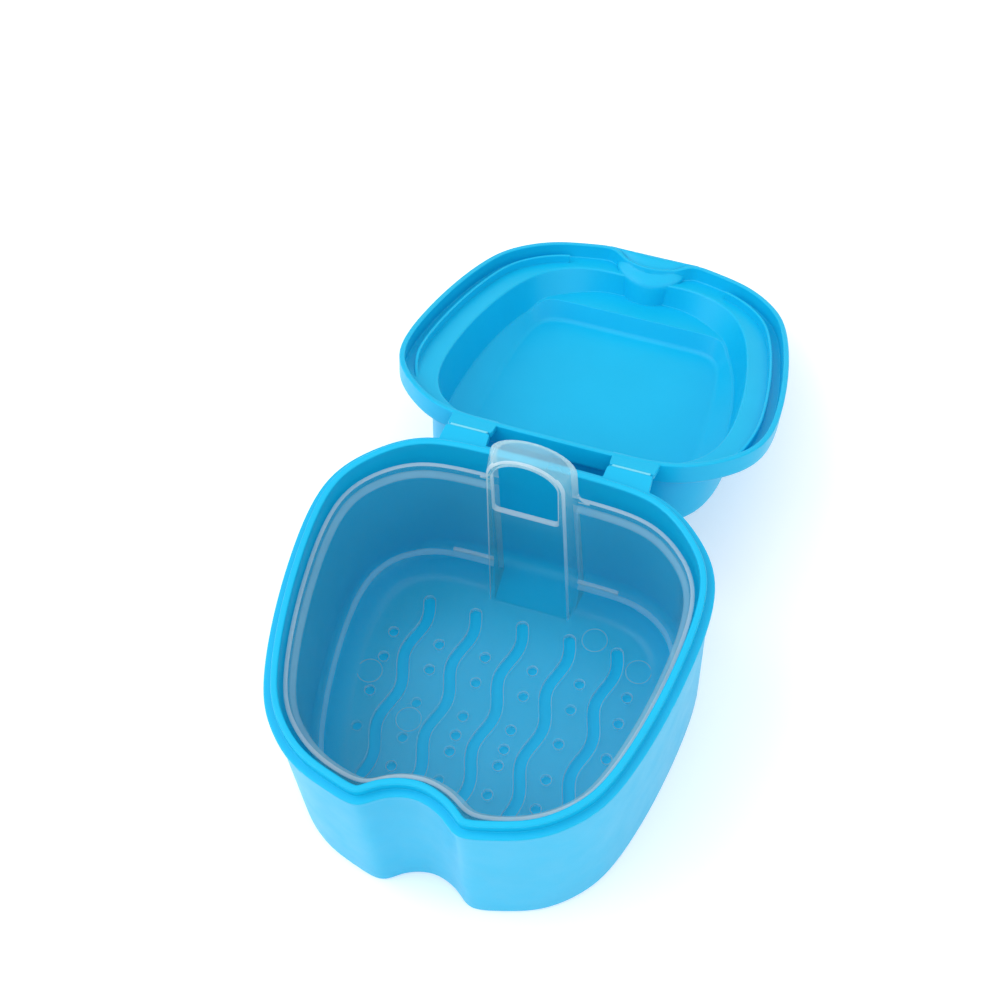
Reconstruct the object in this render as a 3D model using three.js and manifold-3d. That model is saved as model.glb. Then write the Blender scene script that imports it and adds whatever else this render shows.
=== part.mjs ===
// A denture case: a tub and a lid moulded in one piece with two living-hinge webs, and a drop-in strainer basket with a finger handle.
// Millimetres, +Z up. The origin is the centre of the tub's foot, -Y is the front (the thumb scoop), +Y the hinge side.
// The lid is modelled closed and then turned back about the hinge line to the open rest position.
import * as THREE from "three";
import { mergeVertices } from "three/addons/utils/BufferGeometryUtils.js";
import Module from "manifold-3d";

const wasm = await Module();
wasm.setup();

// ---- driving dimensions -------------------------------------------------------------
const LEDGE_Z = 47.0; // the ledge that the lid's skirt lands on
const LIP_H = 2.4; // the lip stands this far above the ledge
const LEDGE_W = 1.85; // width of the ledge outside the lip
const LIP_T = 1.55; // thickness of the lip
const FLANGE_T = 1.6; // thickness of the flange under the ledge
const WALL_OUT_TOP = 0.9; // how far the tub's outer wall lies inside the flange, under the flange
const FOOT_SCALE = [0.962, 0.984]; // the foot's outline against the flange's, across and front to back
const FOOT_SHIFT = -0.1; // and how far it lies forward
const WALL_T = 2.0;
const FOOT_R = 1.2; // rounding of the bottom edge
const TUB_FLOOR = 2.0; // thickness of the tub's floor

const SEAT_GAP = 0.3; // the closed lid's skirt over the ledge
const LID_Z = LEDGE_Z + SEAT_GAP; // mating plane of the closed lid
const SKIRT_H = 5.6; // height of the skirt band
const SKIRT_T = 1.5; // thickness of the skirt
const SHELF_H = 3.8; // depth of the shelf inside the skirt
const LID_T = 1.6; // wall of the dome
const STEP_H = 9.8; // depth of the crescent step at the lid's front end
const STEP_Y = -29.2; // the step ends here
const PANEL_H = 15.0; // depth of the middle panel at its front edge
const PANEL_Y = -28; // where that front edge is
const PANEL_SLOPE = 0.1; // the panel gets deeper towards the hinge
const CREASE_UP = 2.0; // along the sides the crease lies this far above the panel
const CUP = [
  // the thumb recess that bulges into the lid: depth, half width and reach of each section, about y = CUP_Y
  [2.4, 10.0, 3.9],
  [3.2, 9.5, 5.3],
  [4.2, 8.7, 6.1],
  [6.0, 8.0, 6.5],
  [8.0, 7.5, 6.8],
  [9.8, 7.2, 7.0],
  [11.6, 7.1, 7.1],
];
const CUP_Y = -43;
const CUP_T = 1.5;
const RIB_IN = 3.9; // seal rib: distance inside the flange outline
const RIB_T = 0.8;
const RIB_TIP_H = 1.6; // depth of the rib's free edge
const RIB_END = 10.8; // the rib has run out here, in spans of the outline
const NOTCH_DIP = 0.8; // the skirt's edge lies this much deeper along the scoop
const TAB_T = 1.4; // thumb tab across the scoop
const TAB_DIP = 1.3; // depth of the tab's dish behind its outer band

const HINGE_Y = 49.4; // hinge line
const HINGE_Z = 46.8;
const LID_OPEN_DEG = 201.9; // the lid at rest, measured from closed
const LEAF_X0 = 14.2; // hinge leaves, from this x
const LEAF_X1 = 25.0; // to this x
const LEAF_END = 1.05; // the leaves stop this far from the hinge line
const WEB_X0 = 15.05;
const WEB_X1 = 24.15;
const WEB_T = 0.4;
const WEB_GAP = 0.3;

const BASKET_FOOT_Z = 2.3; // underside of the basket's floor
const BASKET_FLOOR_Z = 3.5; // top of the basket's floor
const BASKET_RIM_Z = 45.3;
const BASKET_T = 1.0;
const HANDLE_TOP_Z = 64.2;
const HANDLE_BACK_Y = 39.1;
const HANDLE_T = 1.15;
const SLOT_W = 2.7;
const SLOT_Y0 = -24.2;
const SLOT_Y1 = 25.8;
const SLOT_X = [-24, -12, 0, 12, 24];
const SLOT_WAVE = 1.1; // half the side-to-side wave of a slot
const SLOT_PERIOD = 19;
const HOLE_D = 2.3;
const HOLES = [
  [6, 14.0], [6, 7.0], [6, -2.2], [6, -7.3], [6, -11.6], [6, -19.2],
  [17.8, 14.0], [17.8, 7.0], [17.8, -2.2], [17.8, -11.6], [17.8, -19.2],
  [29.6, 14.0], [29.6, 7.0], [29.6, -2.4], [29.2, -12.0],
];

// ---- plan outlines: right halves of closed curves, front centre to rear centre --------
const OUT = [
  [0, -40.24], [5.68, -42.02], [8.37, -44.0], [11.31, -46.34], [17.72, -44.58],
  [27.5, -41.67], [35.68, -34.43], [40.24, -26.79], [44.31, -11.46], [46.95, 7.03],
  [47.42, 26.29], [39.79, 36.68], [29.68, 44.51], [16.68, 45.7], [0, 45.64],
];
const MOUTH = [
  [0, -38.6], [5.0, -38.6], [7.6, -38.7], [11.0, -39.0], [15.8, -38.4],
  [22.4, -35.6], [28.0, -28.9], [31.5, -20.8], [34.7, -7.8], [36.5, 6.5],
  [36.7, 21.6], [33.5, 33.0], [24.5, 40.0], [13.5, 40.8], [0, 40.8],
];
// the crease in the dome's wall: the foot of its steep upper tier, level with the step at the front, near the panel elsewhere
const CREASE = [
  [0, -38.2], [5.0, -38.2], [7.6, -38.2], [11.2, -37.9], [15.4, -35.9],
  [20.8, -32.2], [26.6, -26.6], [30.0, -18.8], [32.9, -7.6], [34.5, 6.6],
  [34.9, 21.0], [32.4, 32.0], [24.2, 39.2], [13.5, 40.0], [0, 40.0],
];
const PANEL = [
  [0, -27.6], [4.4, -27.6], [7.2, -27.6], [10.8, -27.6], [15.5, -27.6],
  [20.8, -27.4], [25.0, -24.6], [26.7, -16.6], [27.5, -6.0], [28.0, 6.5],
  [28.2, 18.6], [27.2, 28.4], [21.2, 34.6], [12.0, 36.4], [0, 36.6],
];
const BASKET_RIM = [
  [0, -35.6], [5.2, -36.7], [8.2, -38.3], [11.5, -40.5], [17.0, -39.9],
  [25.5, -37.1], [32.9, -31.1], [36.9, -24.2], [40.6, -10.3], [43.05, 6.5],
  [43.4, 24.3], [36.2, 33.4], [27.5, 38.9], [15.2, 39.7], [0, 39.7],
];
const BASKET_STEP = [
  [0, -33.4], [4.8, -34.2], [7.8, -35.2], [11.2, -36.8], [16.2, -36.3],
  [23.5, -33.6], [30.0, -28.0], [33.6, -21.5], [36.8, -9.0], [39.0, 6.3],
  [39.2, 21.5], [34.3, 30.4], [25.2, 34.9], [13.8, 35.0], [0, 35.0],
];
const BASKET_FLOOR = [
  [0, -29.4], [4.5, -30.0], [7.5, -30.8], [11.0, -31.8], [15.5, -31.7],
  [21.5, -29.4], [27.0, -24.4], [30.0, -18.3], [33.0, -7.3], [35.2, 6.0],
  [34.9, 19.0], [31.2, 28.2], [22.5, 31.9], [12.0, 32.0], [0, 32.0],
];
const SAMPLES = 3; // points per span of an outline

// A closed cubic B-spline through the mirrored half outline, sampled from the front centre round by the right side.
function curvePoint(half, t) {
  const right = half,
    all = [...right, ...right.slice(1, -1).reverse().map(([x, y]) => [-x, y])],
    n = all.length,
    i = Math.floor(t),
    f = t - i,
    b = [(1 - f) ** 3, 3 * f ** 3 - 6 * f ** 2 + 4, -3 * f ** 3 + 3 * f ** 2 + 3 * f + 1, f ** 3];
  let x = 0,
    y = 0;
  for (let k = 0; k < 4; k++) {
    const p = all[(((i - 1 + k) % n) + n) % n];
    x += (b[k] * p[0]) / 6;
    y += (b[k] * p[1]) / 6;
  }
  return [x, y];
}
const SPANS = 2 * (OUT.length - 1);
const COUNT = SPANS * SAMPLES;

// Points of an outline moved inwards by d (outwards if d is negative).
function insetPoint(half, t, d) {
  const [x, y] = curvePoint(half, t);
  if (d === 0) return [x, y];
  const e = 0.02,
    [x0, y0] = curvePoint(half, t - e),
    [x1, y1] = curvePoint(half, t + e),
    l = Math.hypot(x1 - x0, y1 - y0);
  return [x - ((y1 - y0) / l) * d, y + ((x1 - x0) / l) * d];
}
function ring(half, d, z) {
  const pts = [];
  for (let k = 0; k < COUNT; k++) {
    const [x, y] = insetPoint(half, k / SAMPLES, d);
    pts.push([Math.abs(x) < 1e-6 ? 0 : x, y, typeof z === "function" ? z(x, y) : z]);
  }
  return pts;
}
const mixRings = (a, b, f, z) => a.map((p, i) => [p[0] + (b[i][0] - p[0]) * f, p[1] + (b[i][1] - p[1]) * f, z]);

function geometryOf(points, faces) {
  const g = new THREE.BufferGeometry();
  g.setAttribute("position", new THREE.Float32BufferAttribute(points.flat(), 3));
  g.setIndex(faces.flat());
  return g;
}
// A closed skin over a stack of rings, each end closed by a fan.
function skin(rings, first, last) {
  const n = rings[0].length,
    points = rings.flat(),
    faces = [];
  for (let r = 0; r + 1 < rings.length; r++)
    for (let k = 0; k < n; k++) {
      const a = r * n + k,
        b = r * n + ((k + 1) % n);
      faces.push([a, b, b + n], [a, b + n, a + n]);
    }
  const c0 = points.push(first) - 1,
    c1 = points.push(last) - 1,
    top = (rings.length - 1) * n;
  for (let k = 0; k < n; k++) {
    faces.push([c0, (k + 1) % n, k]);
    faces.push([c1, top + k, top + ((k + 1) % n)]);
  }
  return geometryOf(points, faces);
}

// three.js geometry <-> solid for joins and cuts
function solid(geometry) {
  const g = geometry.index ? geometry.toNonIndexed() : geometry.clone();
  g.deleteAttribute("normal");
  g.deleteAttribute("uv");
  const m = mergeVertices(g, 1e-4);
  return new wasm.Manifold(
    new wasm.Mesh({
      numProp: 3,
      vertProperties: new Float32Array(m.attributes.position.array),
      triVerts: new Uint32Array(m.index.array),
    }),
  );
}
function geometryFrom(manifold) {
  const m = manifold.getMesh(),
    g = new THREE.BufferGeometry();
  g.setAttribute("position", new THREE.Float32BufferAttribute(m.vertProperties, 3));
  g.setIndex(Array.from(m.triVerts));
  const flat = g.toNonIndexed();
  flat.computeVertexNormals();
  return flat;
}
const box = (x0, x1, y0, y1, z0, z1) =>
  new THREE.BoxGeometry(x1 - x0, y1 - y0, z1 - z0).translate((x0 + x1) / 2, (y0 + y1) / 2, (z0 + z1) / 2);
// An outline in the XY plane pulled up from z0 to z1.
function prism(points, z0, z1) {
  const shape = new THREE.Shape(points.map(([x, y]) => new THREE.Vector2(x, y)));
  return new THREE.ExtrudeGeometry(shape, { depth: z1 - z0, bevelEnabled: false, curveSegments: 1 }).translate(0, 0, z0);
}

// ---- base tub -------------------------------------------------------------------------
const LIP_IN = LEDGE_W + LIP_T;
const lipTop = LEDGE_Z + LIP_H;
const underFlange = LEDGE_Z - FLANGE_T;
// The outer wall runs straight from under the flange to the foot's outline; d moves it inwards.
function wall(z, d) {
  const top = ring(OUT, WALL_OUT_TOP + d, z),
    foot = ring(OUT, d, z),
    f = 1 - z / underFlange;
  return top.map((p, i) => [
    p[0] + (foot[i][0] * FOOT_SCALE[0] - p[0]) * f,
    p[1] + (foot[i][1] * FOOT_SCALE[1] + FOOT_SHIFT - p[1]) * f,
    z,
  ]);
}
const tubRings = [
  wall(0, FOOT_R),
  wall(FOOT_R * 0.29, FOOT_R * 0.29),
  wall(FOOT_R, 0),
  wall(underFlange, 0),
  ring(OUT, 0.15, underFlange),
  ring(OUT, 0, underFlange + 0.3),
  ring(OUT, 0, LEDGE_Z - 0.2),
  ring(OUT, 0.2, LEDGE_Z),
  ring(OUT, LEDGE_W, LEDGE_Z),
  ring(OUT, LEDGE_W, lipTop - 0.25),
  ring(OUT, LEDGE_W + 0.25, lipTop),
  ring(OUT, LIP_IN - 0.25, lipTop),
  ring(OUT, LIP_IN, lipTop - 0.25),
  ring(OUT, LIP_IN + 0.1, 41),
  wall(5, WALL_T),
  wall(2.9, WALL_T + 0.8),
  wall(TUB_FLOOR, WALL_T + 2.4),
];
let tub = solid(skin(tubRings, [0, 0, 0], [0, 0, TUB_FLOOR]));
for (const s of [-1, 1]) {
  const x0 = s > 0 ? LEAF_X0 : -LEAF_X1,
    x1 = s > 0 ? LEAF_X1 : -LEAF_X0;
  tub = tub.add(solid(box(x0, x1, 43.6, HINGE_Y - LEAF_END, LEDGE_Z - FLANGE_T + 0.05, LEDGE_Z - 0.05)));
}

// ---- lid, in its closed place -----------------------------------------------------------
const smooth = (a, b, v) => {
  const t = Math.min(1, Math.max(0, (v - a) / (b - a)));
  return t * t * (3 - 2 * t);
};
const panelZ = (x, y) => LID_Z + PANEL_H + PANEL_SLOPE * (y - PANEL_Y);
const creaseZ = (x, y) => LID_Z + STEP_H + (panelZ(x, y) - CREASE_UP - LID_Z - STEP_H) * smooth(-29, -23.5, y);
// the crease, d further in; with cut the step's end is pulled back to that line
function crease(d, dz, cut) {
  const pts = [];
  for (let k = 0; k < COUNT; k++) {
    const [, ym] = curvePoint(CREASE, k / SAMPLES),
      [x, y] = insetPoint(CREASE, k / SAMPLES, d),
      yc = cut === undefined ? y : cut + 1.2 * Math.log1p(Math.exp(Math.min((y - cut) / 1.2, 60)));
    pts.push([Math.abs(x) < 1e-6 ? 0 : x, yc, creaseZ(x, ym) + dz]);
  }
  return pts;
}
const up = (f, d) => (x, y) => f(x, y) + d;
const edgeZ = (x, y) => LID_Z + (y < -36 ? NOTCH_DIP * (1 - smooth(6, 9.5, Math.abs(x))) : 0);
const lidRings = [
  ring(PANEL, 0, panelZ),
  crease(0.4, 0.1, STEP_Y),
  crease(0, 0, undefined),
  ring(MOUTH, 0, LID_Z + SHELF_H),
  ring(OUT, SKIRT_T, LID_Z + SHELF_H),
  ring(OUT, SKIRT_T - 0.1, edgeZ),
  ring(OUT, 0.15, edgeZ),
  ring(OUT, 0, up(edgeZ, 0.2)),
  ring(OUT, 0.25, LID_Z + SKIRT_H - 0.3),
  ring(OUT, 0.55, LID_Z + SKIRT_H),
  ring(MOUTH, -1.5, LID_Z + SKIRT_H),
  crease(-2.2, LID_T - 0.9, undefined),
  crease(-1.6, LID_T, undefined),
  crease(-1.0, LID_T + 0.1, STEP_Y - 0.8),
  ring(PANEL, -1.5, up(panelZ, LID_T - 0.9)),
  ring(PANEL, -0.6, up(panelZ, LID_T)),
];
let lidSolid = solid(skin(lidRings, [0, 0, panelZ(0, 0)], [0, 0, panelZ(0, 0) + LID_T]));
// the thumb recess
{
  const loft = (shrink, sections) => {
    const rings = sections.map(([h, a, b]) => {
      const pts = [];
      for (let k = 0; k < 32; k++) {
        const u = (2 * Math.PI * k) / 32;
        pts.push([(a - shrink) * Math.cos(u), CUP_Y + (b - shrink) * Math.sin(u), LID_Z + h]);
      }
      return pts;
    });
    const z0 = rings[0][0][2],
      z1 = rings[rings.length - 1][0][2];
    return solid(skin(rings, [0, CUP_Y, z0], [0, CUP_Y, z1]));
  };
  // only the part behind the skirt's and the front wall's outer faces joins the lid
  const keep = solid(box(-11, 11, -40.9, -30, LID_Z + CUP[0][0] - 0.2, LID_Z + STEP_H + LID_T)),
    inSkirt = solid(prism(ring(OUT, 0.8, 0), LID_Z + CUP[0][0] - 0.2, LID_Z + SKIRT_H - 0.4));
  lidSolid = lidSolid.add(loft(0, CUP).intersect(keep.add(inSkirt)));
  const last = CUP[CUP.length - 1];
  lidSolid = lidSolid.subtract(loft(CUP_T, [...CUP, [last[0] + 4, last[1] + 0.2, last[2] + 0.3]]));
}
// thumb tab: a thin dished plate that bridges the scoop, its outer band level with the mating plane
{
  const outer = [],
    inner = [],
    half = 12.2;
  for (let k = 0; k <= 10; k++) {
    const x = -half + (2 * half * k) / 10;
    outer.push([x, -45.62 - 0.35 * (1 - (x / half) ** 2)]);
  }
  for (let k = 0; k <= 16; k++) {
    const [x, y] = insetPoint(OUT, 2.9 - (5.8 * k) / 16 + SPANS, 0.7);
    inner.push([x, y]);
  }
  const low = LID_Z + TAB_DIP + TAB_T,
    band = outer.map(([x, y]) => [x, y + 1.2]).reverse();
  lidSolid = lidSolid
    .add(solid(prism([...outer, ...inner], LID_Z + TAB_DIP, low)))
    .add(solid(prism([...outer, ...band], LID_Z, low - 0.01)));
}
// seal rib on the shelf, open across the scoop and running out towards the hinge
for (const [from, to] of [[4.55, RIB_END], [SPANS - RIB_END, SPANS - 4.55]]) {
  const steps = 34,
    points = [],
    faces = [];
  for (let k = 0; k <= steps; k++) {
    const t = from + ((to - from) * k) / steps,
      tip = LID_Z + RIB_TIP_H + (SHELF_H + 0.4 - RIB_TIP_H) * smooth(RIB_END - 1.1, RIB_END, Math.min(t, SPANS - t)),
      [ax, ay] = insetPoint(OUT, t, RIB_IN),
      [bx, by] = insetPoint(OUT, t, RIB_IN + RIB_T);
    points.push([ax, ay, tip], [ax, ay, LID_Z + SHELF_H + 0.6], [bx, by, LID_Z + SHELF_H + 0.6], [bx, by, tip]);
  }
  for (let k = 0; k < steps; k++)
    for (let c = 0; c < 4; c++) {
      const a = k * 4 + c,
        b = k * 4 + ((c + 1) % 4);
      faces.push([a, a + 4, b + 4], [a, b + 4, b]);
    }
  const e = steps * 4;
  faces.push([0, 1, 2], [0, 2, 3], [e, e + 2, e + 1], [e, e + 3, e + 2]);
  lidSolid = lidSolid.add(solid(geometryOf(points, faces)));
}
for (const s of [-1, 1]) {
  const x0 = s > 0 ? LEAF_X0 : -LEAF_X1,
    x1 = s > 0 ? LEAF_X1 : -LEAF_X0;
  lidSolid = lidSolid.add(solid(box(x0, x1, 44.25, HINGE_Y - LEAF_END, LID_Z + 0.05, LID_Z + 1.6)));
}

// ---- strainer basket ----------------------------------------------------------------------
const F = ring(BASKET_FLOOR, 0, 0),
  S = ring(BASKET_STEP, 0, 0);
const Fo = ring(BASKET_FLOOR, -0.9, 0),
  So = ring(BASKET_STEP, -0.95, 0);
const basketRings = [
  ring(BASKET_FLOOR, 0, BASKET_FOOT_Z),
  mixRings(Fo, So, 0.35, BASKET_FOOT_Z + 1.0),
  mixRings(Fo, So, 0.8, 6.2),
  ring(BASKET_STEP, -0.95, 9.4),
  ring(BASKET_STEP, -1.9, 10.4),
  ring(BASKET_RIM, 1.45, 41.6),
  ring(BASKET_RIM, 0.15, 42.5),
  ring(BASKET_RIM, 0, BASKET_RIM_Z),
  ring(BASKET_RIM, BASKET_T, BASKET_RIM_Z),
  ring(BASKET_RIM, BASKET_T + 0.1, 43.3),
  ring(BASKET_RIM, 2.45, 42.5),
  ring(BASKET_STEP, -0.9, 11.0),
  ring(BASKET_STEP, 0, 10.1),
  mixRings(F, S, 0.78, 7.0),
  mixRings(F, S, 0.36, 4.5),
  mixRings(F, S, -0.04, BASKET_FLOOR_Z),
];
let basket = solid(skin(basketRings, [0, 0, BASKET_FOOT_Z], [0, 0, BASKET_FLOOR_Z]));
// The handle's arch: front and back edges of one shell, open at the back and at the bottom.
function archShell(grow, zLow, yBack) {
  const rise = 8.3 + grow,
    zc = HANDLE_TOP_Z + grow - rise,
    widthAt = (z, w0, w1) => w0 + ((w1 - w0) * (z - 3.5)) / (HANDLE_TOP_Z - 3.5) + grow,
    frontY = (z) => 29.3 + (3.7 * (z - 3.5)) / (HANDLE_TOP_Z - 3.5) - grow,
    profile = [],
    add = (share, z, zw) =>
      profile.push({
        f: [share * widthAt(zw, 10.2, 8.9), frontY(z), z],
        b: [share * widthAt(zw, 11.2, 10.2), yBack, z],
      });
  add(-1, zLow, zLow);
  add(-1, zc, zc);
  for (let k = 1; k < 16; k++) {
    const a = Math.PI * (1 - k / 16);
    add(Math.cos(a), zc + rise * Math.sin(a), zc);
  }
  add(1, zc, zc);
  add(1, zLow, zLow);
  const n = profile.length,
    points = [...profile.map((p) => p.f), ...profile.map((p) => p.b)],
    faces = [];
  for (let k = 0; k < n; k++) {
    const a = k,
      b = (k + 1) % n;
    faces.push([a, b, b + n], [a, b + n, a + n]);
  }
  // ends: strips across the arch
  for (let k = 0; 2 * k < n - 2; k++) {
    const a = k,
      b = k + 1,
      c = n - 2 - k,
      d = n - 1 - k;
    if (b < c) {
      faces.push([a, c, b], [a, d, c]);
      faces.push([n + a, n + b, n + c], [n + a, n + c, n + d]);
    } else if (b === c) {
      faces.push([a, d, b]);
      faces.push([n + a, n + b, n + d]);
    }
  }
  return solid(geometryOf(points, faces));
}
basket = basket.add(archShell(0, BASKET_FOOT_Z, HANDLE_BACK_Y));
basket = basket.subtract(archShell(-HANDLE_T, 0, 44));
// the finger opening through the front of the arch
{
  const w = 7.6,
    z0 = 43.6,
    zc = 55.7,
    z1 = 62.4,
    pts = [];
  for (const [cx, a0] of [[w - 1.2, -90], [1.2 - w, 180]]) {
    for (let k = 0; k <= 4; k++) {
      const a = ((a0 + (90 * k) / 4) * Math.PI) / 180;
      pts.push([cx + 1.2 * Math.cos(a), z0 + 1.2 + 1.2 * Math.sin(a)]);
    }
    if (cx > 0)
      for (let k = 0; k <= 14; k++) {
        const a = (Math.PI * k) / 14;
        pts.push([w * Math.cos(a), zc + (z1 - zc) * Math.sin(a)]);
      }
  }
  // drawn in XZ: build it lying down, then stand it up so that it runs from y = 26 to y = 36
  const g = prism(pts, 0, 9);
  g.rotateX(Math.PI / 2).translate(0, 35.5, 0);
  basket = basket.subtract(solid(g));
}
// wavy slots and round drain holes in the floor
for (const xc of SLOT_X) {
  const wave = (y) => xc + SLOT_WAVE * Math.cos((2 * Math.PI * (y - 19.6)) / SLOT_PERIOD);
  const left = [],
    right = [],
    r = SLOT_W / 2,
    y0 = SLOT_Y0 + r,
    y1 = SLOT_Y1 - r,
    steps = 15;
  for (let k = 0; k <= steps; k++) {
    const y = y0 + ((y1 - y0) * k) / steps,
      slope = (wave(y + 0.05) - wave(y - 0.05)) / 0.1,
      l = Math.hypot(1, slope);
    right.push([wave(y) + r / l, y - (slope * r) / l]);
    left.push([wave(y) - r / l, y + (slope * r) / l]);
  }
  const topCap = [],
    lowCap = [];
  for (let k = 1; k < 4; k++) {
    const a = (Math.PI * k) / 4;
    topCap.push([wave(y1) + r * Math.cos(a), y1 + r * Math.sin(a)]);
    lowCap.push([wave(y0) - r * Math.cos(a), y0 - r * Math.sin(a)]);
  }
  basket = basket.subtract(solid(prism([...right, ...topCap, ...left.reverse(), ...lowCap], 0.5, 6)));
}
for (const [hx, hy] of HOLES)
  for (const s of [-1, 1]) {
    const g = new THREE.CylinderGeometry(HOLE_D / 2, HOLE_D / 2, 5.5, 10).rotateX(Math.PI / 2).translate(s * hx, hy, 3.2);
    basket = basket.subtract(solid(g));
  }

// ---- scene graph --------------------------------------------------------------------------
const blue = { color: 0x2bb3e8, roughness: 0.38, metalness: 0 };
const root = new THREE.Group();
function piece(name, geometry, options) {
  const m = new THREE.Mesh(geometry, new THREE.MeshStandardMaterial(options));
  m.name = name;
  return m;
}
root.add(piece("base_tub", geometryFrom(tub), blue));

const lidGroup = new THREE.Group();
lidGroup.position.set(0, HINGE_Y, HINGE_Z);
lidGroup.rotation.x = (-LID_OPEN_DEG * Math.PI) / 180;
const lid = piece("lid", geometryFrom(lidSolid).translate(0, -HINGE_Y, -HINGE_Z), blue);
lidGroup.add(lid);
root.add(lidGroup);

for (const [name, s] of [["hinge_web_left", -1], ["hinge_web_right", 1]]) {
  // from the end of the base leaf down to the end of the open lid's leaf
  const ya = HINGE_Y - LEAF_END + WEB_GAP,
    za = LEDGE_Z - 0.2,
    yb = HINGE_Y + 0.48,
    zb = HINGE_Z - 0.58,
    len = Math.hypot(yb - ya, zb - za);
  const web = piece(name, new THREE.BoxGeometry(WEB_X1 - WEB_X0, len, WEB_T), { ...blue, color: 0x5fd0f4 });
  web.position.set((s * (WEB_X0 + WEB_X1)) / 2, (ya + yb) / 2, (za + zb) / 2);
  web.rotation.x = Math.atan2(zb - za, yb - ya);
  root.add(web);
}

root.add(
  piece("strainer_basket", geometryFrom(basket), {
    color: 0xcfe8f4,
    roughness: 0.45,
    metalness: 0,
    transparent: true,
    opacity: 0.55,
  }),
);

export default root;
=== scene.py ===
"""Looks of the denture case: tub, lid, two hinge webs and the strainer basket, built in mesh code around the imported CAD."""
import bpy
import bmesh
import math
import numpy as np
from mathutils import Matrix, Vector


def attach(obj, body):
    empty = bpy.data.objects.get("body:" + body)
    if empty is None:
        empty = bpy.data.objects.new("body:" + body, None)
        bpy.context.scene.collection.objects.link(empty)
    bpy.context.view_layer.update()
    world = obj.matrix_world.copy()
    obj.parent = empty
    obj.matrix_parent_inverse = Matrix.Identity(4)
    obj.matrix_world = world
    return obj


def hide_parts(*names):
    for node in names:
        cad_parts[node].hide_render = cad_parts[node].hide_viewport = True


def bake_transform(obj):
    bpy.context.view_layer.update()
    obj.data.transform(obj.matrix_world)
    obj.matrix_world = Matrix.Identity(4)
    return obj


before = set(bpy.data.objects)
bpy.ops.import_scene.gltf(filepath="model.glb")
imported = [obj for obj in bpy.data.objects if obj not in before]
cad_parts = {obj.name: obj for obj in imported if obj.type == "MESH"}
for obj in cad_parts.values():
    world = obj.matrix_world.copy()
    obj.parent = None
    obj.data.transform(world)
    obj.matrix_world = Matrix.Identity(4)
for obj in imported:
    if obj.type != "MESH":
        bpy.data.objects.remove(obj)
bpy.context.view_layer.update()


# ---------------------------------------------------------------- dimensions (mm)
LEDGE_Z, LIP_TOP, LEDGE_W, LIP_IN, FLANGE_Z = 47.0, 49.4, 1.85, 3.4, 45.4
LID_Z = 47.3
HINGE_Y, HINGE_Z, LID_OPEN = 49.4, 46.8, 201.9
HANDLE_TOP = 64.2

OUT = [
    [0, -40.24], [5.68, -42.02], [8.37, -44.0], [11.31, -46.34], [17.72, -44.58],
    [27.5, -41.67], [35.68, -34.43], [40.24, -26.79], [44.31, -11.46], [46.95, 7.03],
    [47.42, 26.29], [39.79, 36.68], [29.68, 44.51], [16.68, 45.7], [0, 45.64],
]
MOUTH = [
    [0, -38.6], [5.0, -38.6], [7.6, -38.7], [11.0, -39.0], [15.8, -38.4],
    [22.4, -35.6], [28.0, -28.9], [31.5, -20.8], [34.7, -7.8], [36.5, 6.5],
    [36.7, 21.6], [33.5, 33.0], [24.5, 40.0], [13.5, 40.8], [0, 40.8],
]
CREASE = [
    [0, -38.2], [5.0, -38.2], [7.6, -38.2], [11.2, -37.9], [15.4, -35.9],
    [20.8, -32.2], [26.6, -26.6], [30.0, -18.8], [32.9, -7.6], [34.5, 6.6],
    [34.9, 21.0], [32.4, 32.0], [24.2, 39.2], [13.5, 40.0], [0, 40.0],
]
PANEL = [
    [0, -27.6], [4.4, -27.6], [7.2, -27.6], [10.8, -27.6], [15.5, -27.6],
    [20.8, -27.4], [25.0, -24.6], [26.7, -16.6], [27.5, -6.0], [28.0, 6.5],
    [28.2, 18.6], [27.2, 28.4], [21.2, 34.6], [12.0, 36.4], [0, 36.6],
]
BASKET_RIM = [
    [0, -35.6], [5.2, -36.7], [8.2, -38.3], [11.5, -40.5], [17.0, -39.9],
    [25.5, -37.1], [32.9, -31.1], [36.9, -24.2], [40.6, -10.3], [43.05, 6.5],
    [43.4, 24.3], [36.2, 33.4], [27.5, 38.9], [15.2, 39.7], [0, 39.7],
]
BASKET_STEP = [
    [0, -33.4], [4.8, -34.2], [7.8, -35.2], [11.2, -36.8], [16.2, -36.3],
    [23.5, -33.6], [30.0, -28.0], [33.6, -21.5], [36.8, -9.0], [39.0, 6.3],
    [39.2, 21.5], [34.3, 30.4], [25.2, 34.9], [13.8, 35.0], [0, 35.0],
]
BASKET_FLOOR = [
    [0, -29.4], [4.5, -30.0], [7.5, -30.8], [11.0, -31.8], [15.5, -31.7],
    [21.5, -29.4], [27.0, -24.4], [30.0, -18.3], [33.0, -7.3], [35.2, 6.0],
    [34.9, 19.0], [31.2, 28.2], [22.5, 31.9], [12.0, 32.0], [0, 32.0],
]
HOLES = [
    [6, 14.0], [6, 7.0], [6, -2.2], [6, -7.3], [6, -11.6], [6, -19.2],
    [17.8, 14.0], [17.8, 7.0], [17.8, -2.2], [17.8, -11.6], [17.8, -19.2],
    [29.6, 14.0], [29.6, 7.0], [29.6, -2.4], [29.2, -12.0],
]
SPANS = 2 * (len(OUT) - 1)
SAMPLES = 8
COUNT = SPANS * SAMPLES
T = np.arange(COUNT) / SAMPLES


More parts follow.
